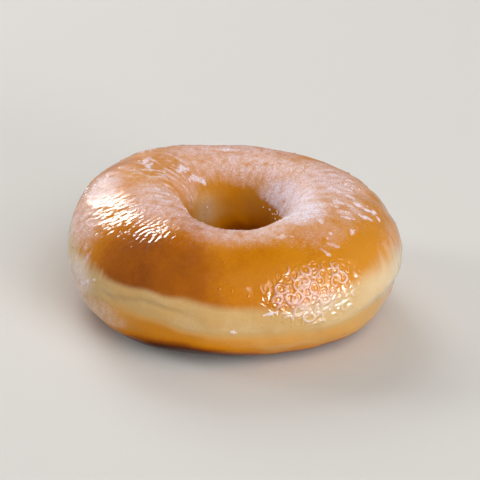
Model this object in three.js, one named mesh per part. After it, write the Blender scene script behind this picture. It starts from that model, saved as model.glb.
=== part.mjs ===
// A glazed ring doughnut of yeast-raised dough, as one solid. Millimetres, +Z up.
//
// An oval section is swept round a core circle. The outer and the inner half of the section have their own
// widths, and the crown and the base their own fullness. A few slow waves make the outline and the crown as
// uneven as hand-cut dough. The base is pressed flat where it rests. The pale band that stood clear of the
// frying fat overhangs the lower crust by a lip, which is deepest at the right and left sides, and a fold
// runs along it at the left of the front.

import * as THREE from "three";

// Driving dimensions of the ring
const CORE_RADIUS = 26.6; // from the hole's axis to the middle of the dough
const OUTER_HALF_WIDTH = 20.9; // from the core circle out to the widest point
const INNER_HALF_WIDTH = 13.6; // from the core circle in to the wall of the hole
const HEIGHT = 34.8; // mean height of the crown
const EQUATOR_HEIGHT = 16; // height of the widest point
const CROWN_FULLNESS = 2.48; // exponent of the section's upper half: 2 is an oval, more is squarer
const BASE_FULLNESS = 2.32; // the same for its lower half
const BASE_PRESS = 1; // how far the round base is pressed in where it rests
const FOOT_BLEND = 0.5; // how softly the flat foot turns up into the side

// Slow waves round the ring, as shares of the outer half width and of the crown above the equator
const OUTLINE_WAVES = [
  { lobes: 1, cos: -0.073, sin: 0.013 },
  { lobes: 2, cos: 0.053, sin: -0.011 },
  { lobes: 3, cos: 0.045, sin: -0.042 },
  { lobes: 4, cos: -0.023, sin: -0.012 },
  { lobes: 5, cos: -0.001, sin: -0.009 },
];
const CROWN_WAVES = [
  { lobes: 1, cos: 0.009, sin: 0.02 },
  { lobes: 2, cos: 0.063, sin: -0.001 },
  { lobes: 3, cos: -0.01, sin: -0.005 },
];

// The pale band's lower edge: its height, how far it climbs, and the lip under it
const BAND_EDGE_HEIGHT = 13.2; // at the front, where the band is deepest
const BAND_EDGE_CLIMB = 3.2; // how much higher it runs at the sides and the back
const BAND_DIP = { at: 284, flatTo: 20, climbsTo: 45 }; // the middle of the deep stretch, and its half widths
const LIP_SPREAD = 1.1; // half the height over which the lip turns in
const LIP_DEPTH = 0.3; // how far the lower crust stands back all round
const LIP_FADE_HEIGHT = 6; // below this the lip dies away towards the foot
const LIP_SWELL = 0.25; // the band swells out by this share of the lip's depth
const SWELL_RISE = 3; // height of the fullest part of the band above its lower edge
const SWELL_HALF_HEIGHT = 5;
const LIP_STRETCHES = [
  { at: 342, halfWidth: 34, depth: 0.9 }, // right side
  { at: 197, halfWidth: 26, depth: 0.4 }, // left side
  { at: 95, halfWidth: 40, depth: 0.4 }, // back
];

// The fold in the band at the left of the front, a shallow valley that bends as an arch
const FOLD = { from: 214, to: 258, height: 16.4, arch: 1.6, depth: 0.7, halfWidth: 1.3 };

// Low swellings of the crust, where gas had gathered in the dough
const SWELLINGS = [
  { around: 3, across: 2, turn: 20, height: 0.22 },
  { around: 7, across: 3, turn: 75, height: 0.16 },
  { around: 11, across: 2, turn: 140, height: 0.1 },
];

// How finely the surface is cut into faces
const STEPS_AROUND = 96;
const STEPS_ACROSS = 60;
const OUTSIDE_CROWDING = 0.3; // shares more of the section's steps out to its outer side, where the band is

const CRUST = new THREE.MeshStandardMaterial({
  name: "glazed_crust",
  color: 0xc07a2c,
  roughness: 0.25,
  metalness: 0,
});

const { degToRad, smoothstep } = THREE.MathUtils;

/** Sum of the waves at an angle round the ring. */
function waves(list, angle) {
  return list.reduce((sum, w) => sum + w.cos * Math.cos(w.lobes * angle) + w.sin * Math.sin(w.lobes * angle), 0);
}

/** How far apart two directions round the ring are, in degrees. */
function degreesBetween(a, b) {
  return Math.abs(((((a - b + 180) % 360) + 360) % 360) - 180);
}

/** A smooth hump of height 1 at distance 0, which ends at its half width. */
function hump(distance, halfWidth) {
  return 1 - smoothstep(Math.abs(distance), 0, halfWidth);
}

/** Height of the pale band's lower edge. */
function bandEdge(degrees) {
  const away = degreesBetween(degrees, BAND_DIP.at);
  return BAND_EDGE_HEIGHT + BAND_EDGE_CLIMB * smoothstep(away, BAND_DIP.flatTo, BAND_DIP.climbsTo);
}

/** Distance from the core circle to the surface, before the waves and the relief. */
function sectionRadius(turn) {
  const across = Math.abs(Math.cos(turn));
  const up = Math.abs(Math.sin(turn));
  const halfWidth = Math.cos(turn) > 0 ? OUTER_HALF_WIDTH : INNER_HALF_WIDTH;
  const crown = Math.sin(turn) > 0;
  const halfHeight = crown ? HEIGHT - EQUATOR_HEIGHT : EQUATOR_HEIGHT + BASE_PRESS;
  const fullness = crown ? CROWN_FULLNESS : BASE_FULLNESS;
  return ((across / halfWidth) ** fullness + (up / halfHeight) ** fullness) ** (-1 / fullness);
}

/** A height pressed flat by the surface that the doughnut rests on. */
function pressed(height) {
  if (height > FOOT_BLEND) return height;
  if (height < -FOOT_BLEND) return 0;
  return (height + FOOT_BLEND) ** 2 / (4 * FOOT_BLEND);
}

/** How far the relief of the outer side moves the surface out, at a height and an angle round the ring. */
function sideRelief(angle, height) {
  const degrees = THREE.MathUtils.radToDeg(angle);
  const edge = bandEdge(degrees);
  const depth = LIP_STRETCHES.reduce(
    (sum, s) => sum + s.depth * hump(degreesBetween(degrees, s.at), s.halfWidth),
    LIP_DEPTH,
  );
  const underLip = 1 - smoothstep(height, edge - LIP_SPREAD, edge + LIP_SPREAD);
  const fade = smoothstep(height, 0, LIP_FADE_HEIGHT);
  const swell = LIP_SWELL * hump(height - edge - SWELL_RISE, SWELL_HALF_HEIGHT);
  const middle = (FOLD.from + FOLD.to) / 2;
  const reach = (FOLD.to - FOLD.from) / 2;
  const along = degreesBetween(degrees, middle) / reach;
  const valley = FOLD.height + FOLD.arch * (1 - along ** 2);
  const fold = FOLD.depth * hump(along, 1) * hump(height - valley, FOLD.halfWidth);
  return depth * (swell - underLip * fade) - fold;
}

/** The surface point at an angle round the ring and a turn about the core circle. */
function surfacePoint(angle, turn) {
  let reach = sectionRadius(turn);
  for (const s of SWELLINGS)
    reach += s.height * Math.sin(s.around * angle + degToRad(s.turn)) * Math.cos(s.across * turn);
  const outward = reach * Math.cos(turn);
  const crownShare = Math.sin(turn) > 0 ? 1 + waves(CROWN_WAVES, angle) : 1;
  const height = pressed(EQUATOR_HEIGHT + reach * Math.sin(turn) * crownShare);
  const outerShare = smoothstep(outward, -INNER_HALF_WIDTH, OUTER_HALF_WIDTH);
  let radius = CORE_RADIUS + outward + outerShare * waves(OUTLINE_WAVES, angle) * OUTER_HALF_WIDTH;
  if (outward > 0) radius += sideRelief(angle, height) * smoothstep(outward, 0, OUTER_HALF_WIDTH / 2);
  return new THREE.Vector3(radius * Math.cos(angle), radius * Math.sin(angle), height);
}

/** The closed surface of the ring, centred on its own box and resting at height 0. */
function ringGeometry() {
  const positions = [];
  const faces = [];
  for (let i = 0; i < STEPS_AROUND; i++) {
    for (let j = 0; j < STEPS_ACROSS; j++) {
      const share = (2 * Math.PI * j) / STEPS_ACROSS;
      const turn = share - OUTSIDE_CROWDING * Math.sin(share);
      positions.push(...surfacePoint((2 * Math.PI * i) / STEPS_AROUND, turn));
      const here = i * STEPS_ACROSS + j;
      const above = i * STEPS_ACROSS + ((j + 1) % STEPS_ACROSS);
      const nextStart = ((i + 1) % STEPS_AROUND) * STEPS_ACROSS;
      const beside = nextStart + j;
      const across = nextStart + ((j + 1) % STEPS_ACROSS);
      faces.push(here, beside, across, here, across, above);
    }
  }
  const geometry = new THREE.BufferGeometry();
  geometry.setAttribute("position", new THREE.Float32BufferAttribute(positions, 3));
  geometry.setIndex(faces);
  geometry.computeBoundingBox();
  const centre = geometry.boundingBox.getCenter(new THREE.Vector3());
  geometry.translate(-centre.x, -centre.y, -geometry.boundingBox.min.z);
  geometry.computeVertexNormals();
  return geometry;
}

const ring = new THREE.Mesh(ringGeometry(), CRUST);
ring.name = "dough_ring";

const doughnut = new THREE.Group();
doughnut.add(ring);
export default doughnut;
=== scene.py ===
"""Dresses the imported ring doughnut: its fried dough, its sugar glaze, and the bubbles and dried sugar on it.

Every piece is laid out on the same two angles, in degrees. One runs round the ring, seen from above, with 0
at the right of the photo and 270 at its front. The other turns about the core circle, which runs through the
middle of the dough, with 0 at the outside, 90 at the top, 180 in the hole and 270 underneath.
"""

import logging
import math
from dataclasses import dataclass, field
from enum import Enum

import bpy
import numpy as np
from mathutils import Matrix, Vector
from mathutils.bvhtree import BVHTree


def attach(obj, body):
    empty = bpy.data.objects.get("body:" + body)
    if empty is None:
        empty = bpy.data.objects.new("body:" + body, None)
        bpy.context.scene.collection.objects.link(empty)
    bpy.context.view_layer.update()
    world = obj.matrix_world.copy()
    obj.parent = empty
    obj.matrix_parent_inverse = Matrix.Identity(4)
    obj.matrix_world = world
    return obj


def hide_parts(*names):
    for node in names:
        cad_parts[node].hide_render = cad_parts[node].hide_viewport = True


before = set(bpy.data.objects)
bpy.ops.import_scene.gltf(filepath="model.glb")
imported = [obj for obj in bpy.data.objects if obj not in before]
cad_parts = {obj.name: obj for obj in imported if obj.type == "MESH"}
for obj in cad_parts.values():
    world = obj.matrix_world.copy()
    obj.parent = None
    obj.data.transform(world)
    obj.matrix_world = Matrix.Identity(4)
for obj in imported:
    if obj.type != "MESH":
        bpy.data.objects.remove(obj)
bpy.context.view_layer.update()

MM = 0.001
NODE = "dough_ring"
BODY = "root"
AXIS = (0.24, -0.58)  # where the hole's axis stands, in mm
MIDDLE_HEIGHT = 18.0  # mm, of the doughnut's middle, which the lamps and the camera face
OUTER_RADIUS = 42.0  # mean distance in mm of the outer side from the hole's axis
SECTION_RADIUS = 18.5  # mean distance in mm of the surface from the core circle
MM_AROUND = OUTER_RADIUS * math.pi / 180  # length of a degree round the ring
MM_ACROSS = SECTION_RADIUS * math.pi / 180  # and of a degree across it
PATCH_CORE = 0.2  # share of a patch's half width within which it has its full strength
STREWN_FACTS = ("grains", "bubbles", "beads")  # the attributes that say how much is strewn at each place

log = logging.getLogger("doughnut")


# Small helpers

def linear(hex_colour: str) -> tuple[float, float, float, float]:
    """Turns an sRGB colour into the linear one that the shaders take.

    Args:
        hex_colour: the colour as #RRGGBB.

    Returns:
        Red, green and blue as linear light, and an alpha of 1.
    """
    channels = [int(hex_colour[i : i + 2], 16) / 255 for i in (1, 3, 5)]
    light = [c / 12.92 if c <= 0.04045 else ((c + 0.055) / 1.055) ** 2.4 for c in channels]
    return (*light, 1.0)


def set_inputs(node: bpy.types.Node, inputs: dict) -> None:
    """Sets or links a node's inputs.

    Args:
        node: the node.
        inputs: by socket name or number, a value to set or an output socket to link.
    """
    for socket, value in inputs.items():
        if isinstance(value, bpy.types.NodeSocket):
            node.id_data.links.new(value, node.inputs[socket])
        else:
            node.inputs[socket].default_value = value


def add_node(tree: bpy.types.NodeTree, kind: str, inputs: dict | None = None, **settings) -> bpy.types.Node:
    """Adds one node to a tree, with its settings, its socket values and its links.

    Args:
        tree: the tree that gets the node.
        kind: the node's type name.
        inputs: by socket name or number, a value to set or an output socket to link.
        settings: the node's own properties.

    Returns:
        The new node.
    """
    node = tree.nodes.new(kind)
    for name, value in settings.items():
        setattr(node, name, value)
    set_inputs(node, inputs or {})
    return node


def start_material(name: str) -> tuple[bpy.types.Material, bpy.types.Node]:
    """Starts a material.

    Args:
        name: what it is and how its surface was made.

    Returns:
        The material, and the shader that its finish sets.
    """
    material = bpy.data.materials.new(name)
    material.use_nodes = True
    return material, material.node_tree.nodes["Principled BSDF"]


def add_object(name: str, data: bpy.types.ID) -> bpy.types.Object:
    """Adds an object to the scene.

    Args:
        name: the object's name.
        data: its mesh, lamp or camera.

    Returns:
        The new object, at the origin.
    """
    thing = bpy.data.objects.new(name, data)
    bpy.context.scene.collection.objects.link(thing)
    return thing


def smooth(value: np.ndarray, low: float | np.ndarray, high: float | np.ndarray) -> np.ndarray:
    """Rises smoothly from 0 at low to 1 at high."""
    share = np.clip((value - low) / (high - low), 0, 1)
    return share * share * (3 - 2 * share)


def hump(distance: np.ndarray, half_width: float) -> np.ndarray:
    """A smooth hump of height 1 at distance 0, which ends at its half width."""
    return 1 - smooth(np.abs(distance), 0, half_width)


def turned_by(angle: np.ndarray, start: float) -> np.ndarray:
    """The angle from a start to each direction, between -180 and 180 degrees."""
    return (angle - start + 180) % 360 - 180


# Places on the ring, and what varies over them

@dataclass(frozen=True)
class Places:
    """Places on the ring: both angles in degrees, and the points in millimetres."""

    around: np.ndarray
    turn: np.ndarray
    points: np.ndarray

    def flow(self, slant: float = 0.0) -> np.ndarray:
        """Unrolls the places so that the third number runs the way the glaze ran down.

        Args:
            slant: degrees round the ring that a run drifts with each degree across it.

        Returns:
            Points in millimetres on a cylinder, which meet themselves after a whole ring.
        """
        a = np.radians(self.around - slant * self.turn)
        run = np.radians(self.turn) * SECTION_RADIUS
        return np.stack([OUTER_RADIUS * np.cos(a), OUTER_RADIUS * np.sin(a), run], -1)


@dataclass(frozen=True)
class Patch:
    """A stretch of the ring with soft edges, by its middle and its half widths in degrees."""

    around: float
    turn: float
    half_around: float
    half_turn: float
    strength: float = 1.0

    def share(self, places: Places) -> np.ndarray:
        """How much of the patch reaches each place.

        Args:
            places: where it is wanted.

        Returns:
            The patch's strength at its middle, falling to 0 at its edge.
        """
        along = turned_by(places.around, self.around) / self.half_around
        across = turned_by(places.turn, self.turn) / self.half_turn
        return self.strength * (1 - smooth(np.hypot(along, across), PATCH_CORE, 1.0))


def highest(patches: tuple[Patch, ...], places: Places) -> np.ndarray:
    """The strongest of several patches at each place."""
    return np.max([p.share(places) for p in patches], axis=0)


@dataclass(frozen=True)
class Swing:
    """A number that changes round the ring: its usual value, and what each soft-edged stretch adds to it."""

    usual: float
    stretches: tuple[tuple[float, float, float], ...]  # middle and half width in degrees, and what it adds

    def at(self, around: np.ndarray) -> np.ndarray:
        """The number at each angle round the ring."""
        added = [most * hump(turned_by(around, middle), half) for middle, half, most in self.stretches]
        return self.usual + sum(added)


@dataclass(frozen=True)
class Ripples:
    """Smooth random heights: the sum of many plane waves between two lengths, in millimetres."""

    seed: int
    shortest: float
    longest: float
    stretch: float = 1.0  # how much longer the ripples are down the glaze's run than across it
    slant: float = 0.0  # degrees round the ring that the run drifts with each degree across it
    waves: int = 48

    def heights(self, places: Places) -> np.ndarray:
        """The heights at some places.

        Args:
            places: where they are wanted.

        Returns:
            One height for each place, with a mean of 0 and a spread of 1.
        """
        rng = np.random.default_rng(self.seed)
        directions = rng.normal(size=(self.waves, 3))
        directions /= np.linalg.norm(directions, axis=1, keepdims=True)
        lengths = np.exp(rng.uniform(math.log(self.shortest), math.log(self.longest), self.waves))
        phases = rng.uniform(0, 2 * math.pi, self.waves)
        vectors = directions * (2 * math.pi / lengths)[:, None] / np.array([1.0, 1.0, self.stretch])
        along_run = self.stretch != 1.0 or self.slant != 0.0
        points = places.flow(self.slant) if along_run else places.points
        return np.cos(points @ vectors.T + phases).sum(-1) * math.sqrt(2 / self.waves)


@dataclass(frozen=True)
class Blisters:
    """Blisters in the glaze, strewn at random and of many sizes, each with flat ground round it."""

    seed: int
    spacing: float  # mean distance in mm between two of them
    narrowest: float  # radii in mm
    widest: float
    steepness: float = 0.16  # height as a share of the radius
    burst: bool = False  # a raised rim round a pit with a bead in it, in place of a dome
    stray: float = 0.42  # how far each stands off even rows, as a share of the spacing
    oval: float = 0.12  # how far the outline is drawn out
    three_cornered: float = 0.06  # and how far it has three corners
    slope: float = 0.3  # how much higher than the mean one side of a burst rim stands
    rim: float = 0.62  # radius and width of that rim, as shares of the blister's radius
    rim_width: float = 0.24
    bead: float = 0.6  # height of the bead as a share of the rim's, and its width
    bead_width: float = 0.2
    firmness: float = 1.6  # how soon inside the zone's edge they are at full height

    def heights(self, places: Places, zone: Patch) -> np.ndarray:
        """Heights in millimetres of the blisters inside a zone.

        Args:
            places: where the heights are wanted.
            zone: the stretch of the ring that has the blisters.

        Returns:
            One height for each place, 0 outside the zone.
        """
        rng = np.random.default_rng(self.seed)
        wide = 2 * zone.half_around * MM_AROUND
        tall = 2 * zone.half_turn * MM_ACROSS
        steps_x = max(2, round(wide / self.spacing))
        steps_y = max(2, round(tall / self.spacing))
        x, y = np.meshgrid(np.arange(steps_x) + 0.5, np.arange(steps_y) + 0.5)
        x = (x + rng.uniform(-self.stray, self.stray, x.shape)) / steps_x * wide - wide / 2
        y = (y + rng.uniform(-self.stray, self.stray, y.shape)) / steps_y * tall - tall / 2
        radii = rng.uniform(self.narrowest, self.widest, x.shape).ravel()
        phases = rng.uniform(0, 2 * math.pi, (*x.shape, 3)).reshape(-1, 3)
        here_x = turned_by(places.around, zone.around) * MM_AROUND
        here_y = turned_by(places.turn, zone.turn) * MM_ACROSS
        raised = np.zeros(here_x.shape)
        for cx, cy, radius, (one, two, three) in zip(x.ravel(), y.ravel(), radii, phases):
            near = (np.abs(here_x - cx) < 2 * radius) & (np.abs(here_y - cy) < 2 * radius)
            dx, dy = here_x[near] - cx, here_y[near] - cy
            angle = np.arctan2(dy, dx)
            uneven = 1 + self.oval * np.cos(2 * angle + one) + self.three_cornered * np.cos(3 * angle + two)
            side = 1 + self.slope * np.cos(angle + three) if self.burst else 1
            height = self._profile(np.hypot(dx, dy) / radius * uneven) * radius * self.steepness * side
            raised[near] = np.maximum(raised[near], height)
        return raised * np.minimum(zone.share(places) * self.firmness, 1)

    def _profile(self, distance: np.ndarray) -> np.ndarray:
        """A blister's section.

        Args:
            distance: from the blister's middle, as shares of its radius.

        Returns:
            The height at each distance, from 0 to 1.
        """
        if self.burst:
            rim = np.exp(-(((distance - self.rim) / self.rim_width) ** 2))
            return rim + self.bead * np.exp(-((distance / self.bead_width) ** 2))
        return np.where(distance < 1, (1 + np.cos(np.pi * np.minimum(distance, 1))) / 2, 0)


# The form that every piece follows

@dataclass
class RingForm:
    """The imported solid's form, kept as smooth waves of its distance from the core circle."""

    core_radius: float = 26.6  # mm, of the core circle, and its height
    core_height: float = 16.0
    rays_around: int = 384
    rays_across: int = 192
    nudge: float = 1e-4  # radians, so that no ray slips between two facets
    smoothest_around: float = 45.0  # waves round the ring past which the solid's facets are damped out
    smoothest_across: float = 30.0
    furthest: float = 3.0  # how many times as many waves across the ring are kept at all
    waves: np.ndarray = field(init=False, repr=False)

    def __post_init__(self) -> None:
        """Measures the solid along rays from the core circle and damps its facets."""
        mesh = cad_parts[NODE].data
        corners = [v.co for v in mesh.vertices]
        tree = BVHTree.FromPolygons(corners, [p.vertices for p in mesh.polygons], epsilon=1e-6)
        around = np.arange(self.rays_around) * 2 * math.pi / self.rays_around + self.nudge
        across = np.arange(self.rays_across) * 2 * math.pi / self.rays_across + self.nudge
        reach = np.array([[self._distance(tree, a, t) for t in across] for a in around])
        m, n = self._wave_numbers()
        damping = (m[:, None] / self.smoothest_around) ** 2 + (n[None, :] / self.smoothest_across) ** 2
        self.waves = np.fft.fft2(reach) / reach.size * np.exp(-damping / 2)

    def _wave_numbers(self) -> tuple[np.ndarray, ...]:
        """How many times each wave repeats round the ring, and across it."""
        return tuple(np.fft.fftfreq(rays, 1 / rays) for rays in (self.rays_around, self.rays_across))

    def _distance(self, tree: BVHTree, around: float, turn: float) -> float:
        """Measures the solid along one ray.

        Args:
            tree: the solid's faces.
            around: the ray's angle round the ring, in radians.
            turn: its turn about the core circle, in radians.

        Returns:
            The distance in millimetres from the core circle to the solid's surface.
        """
        out = Vector((math.cos(around), math.sin(around), 0))
        start = Vector((*AXIS, self.core_height)) + out * self.core_radius
        direction = out * math.cos(turn) + Vector((0, 0, math.sin(turn)))
        return tree.ray_cast(start * MM, direction)[3] / MM

    def places(self, around: np.ndarray, turn: np.ndarray) -> Places:
        """Finds points on the form.

        Args:
            around: the angle of each column, in degrees.
            turn: the turns of each column's points, in degrees, one column to a row of the array.

        Returns:
            The places, as arrays of columns by points.
        """
        m, n = self._wave_numbers()
        columns = np.exp(1j * np.outer(np.radians(around), m)) @ self.waves
        t = np.radians(turn)
        reach = np.zeros(turn.shape)
        kept = self.furthest * self.smoothest_across
        for k in np.flatnonzero(np.abs(n) < kept):
            reach += np.real(columns[:, k, None] * np.exp(1j * n[k] * t))
        a = np.radians(around)[:, None]
        radius = self.core_radius + reach * np.cos(t)
        height = np.maximum(self.core_height + reach * np.sin(t), 0)
        x = AXIS[0] + radius * np.cos(a)
        y = AXIS[1] + radius * np.sin(a)
        return Places(around[:, None] + 0 * turn, turn, np.stack([x, y, height], -1))


def outward(points: np.ndarray, closed_around: bool = True, closed_across: bool = True) -> np.ndarray:
    """Unit normals that point out of a grid of points.

    Args:
        points: the grid, first round the ring and then across it.
        closed_around: whether it closes round the ring.
        closed_across: whether it closes across the ring.

    Returns:
        One normal for each point.
    """
    steps = []
    for axis, closed in enumerate((closed_around, closed_across)):
        if closed:
            steps.append(np.roll(points, -1, axis) - np.roll(points, 1, axis))
        else:
            steps.append(np.gradient(points, axis=axis))
    normals = np.cross(*steps)
    return normals / np.maximum(np.linalg.norm(normals, axis=-1, keepdims=True), 1e-9)


def make_ring(
    name: str, points: np.ndarray, facts: dict[str, np.ndarray], closed_around: bool = True
) -> bpy.types.Object:
    """Makes a closed mesh from a grid of points, with facts about each point as attributes.

    Args:
        name: the piece's name.
        points: the grid in millimetres, first round the ring and then round the piece's section.
        facts: by attribute name, one number or one vector for each point.
        closed_around: whether the grid meets itself round the ring. If not, both its ends are capped.

    Returns:
        The new object, at the origin.
    """
    columns, rows = points.shape[:2]
    i, j = np.meshgrid(np.arange(columns if closed_around else columns - 1), np.arange(rows), indexing="ij")
    next_i, next_j = (i + 1) % columns, (j + 1) % rows
    corners = [i * rows + j, next_i * rows + j, next_i * rows + next_j, i * rows + next_j]
    faces = np.stack(corners, -1).reshape(-1, 4).tolist()
    if not closed_around:
        faces += [list(range(rows)), list(range(columns * rows - 1, (columns - 1) * rows - 1, -1))]
    mesh = bpy.data.meshes.new(name)
    mesh.from_pydata((points.reshape(-1, 3) * MM).tolist(), [], faces)
    for fact, values in facts.items():
        flat = np.ascontiguousarray(values, dtype=np.float32).ravel()
        if values.ndim == 3:
            mesh.attributes.new(fact, "FLOAT_VECTOR", "POINT").data.foreach_set("vector", flat)
        else:
            mesh.attributes.new(fact, "FLOAT", "POINT").data.foreach_set("value", flat)
    mesh.shade_smooth()
    return add_object(name, mesh)


def make_shell(
    name: str,
    places: Places,
    height: np.ndarray,
    underside: float,
    rows_back: np.ndarray,
    facts: dict[str, np.ndarray],
    closed_around: bool = True,
) -> bpy.types.Object:
    """Makes a thin closed shell, with facts about each point as attributes.

    Args:
        name: the piece's name.
        places: the places of its face, first round the ring and then across it.
        height: how many millimetres the face stands over the form at each of them.
        underside: how many millimetres the hidden underside lies below the form.
        rows_back: the rows of the face that the underside repeats.
        facts: by attribute name, the fact at each place. Nothing is strewn on the underside.
        closed_around: whether the shell meets itself round the ring.

    Returns:
        The new object, at the origin.
    """
    out = outward(places.points, closed_around, closed_across=False)
    under = (places.points - out * underside)[:, rows_back]
    points = np.concatenate([places.points + out * height[..., None], under], axis=1)
    whole = {
        fact: np.concatenate([values, values[:, rows_back] * (fact not in STREWN_FACTS)], axis=1)
        for fact, values in facts.items()
    }
    return make_ring(name, points, whole, closed_around)


# What frying and glazing did to each place

@dataclass(frozen=True)
class Frying:
    """How the fat browned the dough and left it pale where it stood clear of the fat, with painted shade
    added.
    """

    # The pale band: heights in mm of its edges, and over how many mm they fade
    upper_edge: Swing = Swing(22.5, ((284, 36, -2.8), (334, 30, 2.8), (192, 18, 3.0)))
    upper_fade: Swing = Swing(1.3, ((340, 48, 2.2), (90, 100, 1.5), (238, 40, -0.6)))
    fade_up: float = 0.5  # how much further it fades upwards than downwards
    streaky_fade_up: float = 2.0  # and where it is streaky
    lower_edge: float = 12.4  # at the front, where the band dips
    lower_climb: float = 3.2  # how much higher that edge runs at the sides and the back
    dip: float = 284.0  # angle where the band dips, and how far from it the edge climbs
    climb: tuple[float, float] = (20, 45)
    lower_fade: tuple[float, float] = (-3.0, 2.0)

    # Browning, from 0 for pale to 1 for dark brown
    crown: Swing = Swing(0.66, ((236, 40, 0.05), (335, 60, -0.09), (270, 24, 0.035)))
    outer_crown: Swing = Swing(0.0, ((236, 40, 0.14), (204, 28, -0.12)))  # added on the crown's outer side
    top_paler: float = 0.05
    band: Swing = Swing(0.23, ((342, 42, -0.19), (206, 26, -0.10)))
    band_foot_paler: float = 0.05
    # Painted shade: low at the front left the lower crust and the bottom edge are darker, and the bottom
    # edge's dark reaches higher
    lower_crust_and_shade: Swing = Swing(0.38, ((335, 60, -0.06), (248, 40, 0.21), (222, 26, -0.10)))
    bottom_edge_and_shade: Swing = Swing(0.56, ((248, 40, 0.15),))  # added where the base curls under
    wall: Swing = Swing(0.56, ((138, 46, -0.29), (40, 56, -0.03)))
    # Painted shade: the wall of the hole is darker the deeper it goes
    deep_wall_painted_shade: float = 0.22
    base: float = 0.66
    mottle_swing: float = 0.018

    # Turns over which one stretch goes over into the next
    outer_to_top: tuple[float, float] = (48, 76)
    up_the_crown: tuple[float, float] = (60, 105)
    into_hole: tuple[float, float] = (112, 150)
    down_the_wall: tuple[float, float] = (156, 182)
    wall_to_base: tuple[float, float] = (215, 240)
    base_to_side: tuple[float, float] = (278, 300)

    # Heights in mm over which the same happens
    band_foot: tuple[float, float] = (12, 18)
    foot: float = 0.8  # the brown of the bottom edge fades from this height up to the curl's
    # Painted shade: the bottom edge's dark reaches higher at the front left
    curl_and_shade: Swing = Swing(7.2, ((248, 40, 4.5),))

    # How the edges wander, in mm, and the mottling of the crust
    wander: float = 0.35
    streaky_wander: float = 0.9
    lower_wander: float = 0.7  # share of this that the band's lower edge has
    edge_wobble: Ripples = Ripples(11, 7, 20)
    streaks: Ripples = Ripples(12, 0.9, 2.4, 7.0)
    streaky: tuple[Patch, ...] = (Patch(206, 18, 24, 40), Patch(344, 34, 26, 34, 0.7))
    mottle: Ripples = Ripples(13, 10, 34)

    def facts(self, places: Places) -> dict[str, np.ndarray]:
        """How browned each place is, with painted shade deep in the hole and low at the front left.

        Args:
            places: where it is wanted.

        Returns:
            The browning above and below the crust's edge, and how far each place lies above that edge.
        """
        around, turn = places.around, places.turn % 360
        height = places.points[..., 2]
        streaky = highest(self.streaky, places)
        wobble = self.wander * self.edge_wobble.heights(places)
        wobble = wobble + self.streaky_wander * streaky * self.streaks.heights(places)
        fade = self.upper_fade.at(around)
        fade_up = fade + self.fade_up + self.streaky_fade_up * streaky
        over_band = smooth(height - self.upper_edge.at(around) + wobble, -fade - streaky, fade_up)
        climb = smooth(np.abs(turned_by(around, self.dip)), *self.climb)
        lower = self.lower_edge + self.lower_climb * climb
        under_band = 1 - smooth(height - lower + self.lower_wander * wobble, *self.lower_fade)
        outer = 1 - smooth(turn, *self.outer_to_top)
        crown = self.crown.at(around) + self.outer_crown.at(around) * outer
        crown = crown - self.top_paler * smooth(turn, *self.up_the_crown)
        band = self.band.at(around) - self.band_foot_paler * (1 - smooth(height, *self.band_foot))
        # The bottom edge's browning, with painted shade reaching higher at the front left
        curl_and_shade_share = 1 - smooth(height, self.foot, self.curl_and_shade.at(around) + wobble)
        crust = self.lower_crust_and_shade.at(around) + self.bottom_edge_and_shade.at(around) * curl_and_shade_share
        below = band + (crust - band) * under_band
        in_hole = smooth(turn, *self.into_hole) * (1 - smooth(turn, *self.wall_to_base))
        under = smooth(turn, *self.wall_to_base) * (1 - smooth(turn, *self.base_to_side))
        # Painted shade darkens the wall deeper into the hole
        wall = self.wall.at(around) + self.deep_wall_painted_shade * smooth(turn, *self.down_the_wall)
        elsewhere = in_hole + under
        browned = crown * (1 - elsewhere) + wall * in_hole + self.base * under
        mottle = self.mottle_swing * self.mottle.heights(places)
        # Both brownings also carry the painted shade deep in the hole and low at the front left
        return {
            "browning": np.clip(browned + mottle, 0, 1),
            "browning_below": np.clip(below + mottle, 0, 1),
            "over_edge": over_band * (1 - elsewhere) + elsewhere,
        }


@dataclass(frozen=True)
class Streak:
    """A dried run of sugar from one place to another, with its greatest width in millimetres."""

    start: tuple[float, float]  # angle round the ring and turn
    end: tuple[float, float]
    width: float
    strength: float = 1.0
    thinnest: float = 0.35  # share of its width that is left where it is thinnest
    widest_at: float = 0.4  # share of its length where it is widest, and over which it thins from there
    thins_over: float = 0.9
    fray: float = 0.5  # how far the edge wanders, as a share of the width
    edge: tuple[float, float] = (0.4, 1.1)  # shares of its width between which it dies away

    def share(self, places: Places, wander: np.ndarray) -> np.ndarray:
        """How much of the streak reaches each place.

        Args:
            places: where it is wanted.
            wander: random heights at each place, along which the edge frays.

        Returns:
            The streak's strength at its middle, falling to 0 at its edge.
        """
        scale = np.array([MM_AROUND, MM_ACROSS])
        from_start = [turned_by(places.around, self.start[0]), turned_by(places.turn, self.start[1])]
        here = np.stack(from_start, -1) * scale
        run = np.array([turned_by(self.end[0], self.start[0]), self.end[1] - self.start[1]]) * scale
        along = here @ run / (run @ run)
        away = np.linalg.norm(here - np.clip(along, 0, 1)[..., None] * run, axis=-1)
        taper = self.thinnest + (1 - self.thinnest) * hump(along - self.widest_at, self.thins_over)
        return self.strength * (1 - smooth(away / (self.width * taper) + self.fray * wander, *self.edge))


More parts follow.
